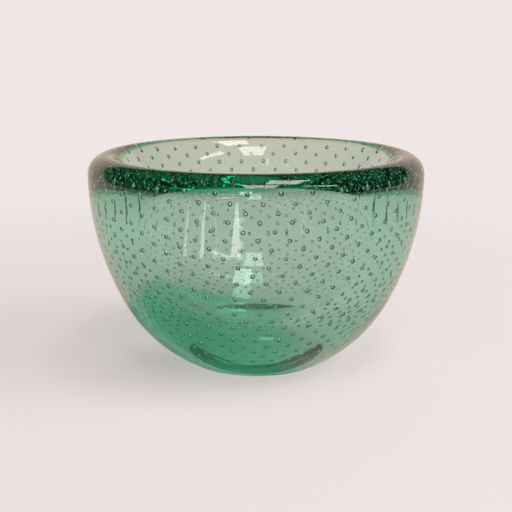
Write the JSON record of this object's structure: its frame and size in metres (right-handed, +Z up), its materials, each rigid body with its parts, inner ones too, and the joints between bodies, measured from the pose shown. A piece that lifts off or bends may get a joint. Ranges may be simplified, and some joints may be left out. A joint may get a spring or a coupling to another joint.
{
  "type": "art glass bowl",
  "caption": "Thick-walled round glass bowl on a small flat foot, with a full-round lip and a staggered lattice of trapped air bubbles all through its wall.",
  "frame": {"origin": "centre of the ground foot, on the surface that the bowl stands on", "axes": "+Z up, along the bowl's axis of revolution; X and Y are equivalent"},
  "size_m": [0.14, 0.14, 0.0885],
  "materials": {
    "gather_glass": "sea-green transparent glass, fire-polished",
    "casing_glass": "sea-green transparent glass, fire-polished, with a ground and polished foot",
    "bubble": "air shut in the glass, with a bright mirror-smooth wall"
  },
  "bodies": {
    "root": {"inner_gather": "gather_glass", "outer_casing": "casing_glass", "bubble_row_01": "bubble", "bubble_row_02": "bubble", "bubble_row_03": "bubble", "bubble_row_04": "bubble", "bubble_row_05": "bubble", "bubble_row_06": "bubble", "bubble_row_07": "bubble", "bubble_row_08": "bubble", "bubble_row_09": "bubble", "bubble_row_10": "bubble", "bubble_row_11": "bubble", "bubble_row_12": "bubble", "bubble_row_13": "bubble", "bubble_row_14": "bubble", "bubble_row_15": "bubble", "bubble_row_16": "bubble", "bubble_row_17": "bubble", "bubble_row_18": "bubble", "bubble_row_19": "bubble", "bubble_row_20": "bubble", "bubble_row_21": "bubble", "bubble_row_22": "bubble", "bubble_row_23": "bubble", "bubble_row_24": "bubble", "bubble_row_25": "bubble"}
  },
  "joints": []
}
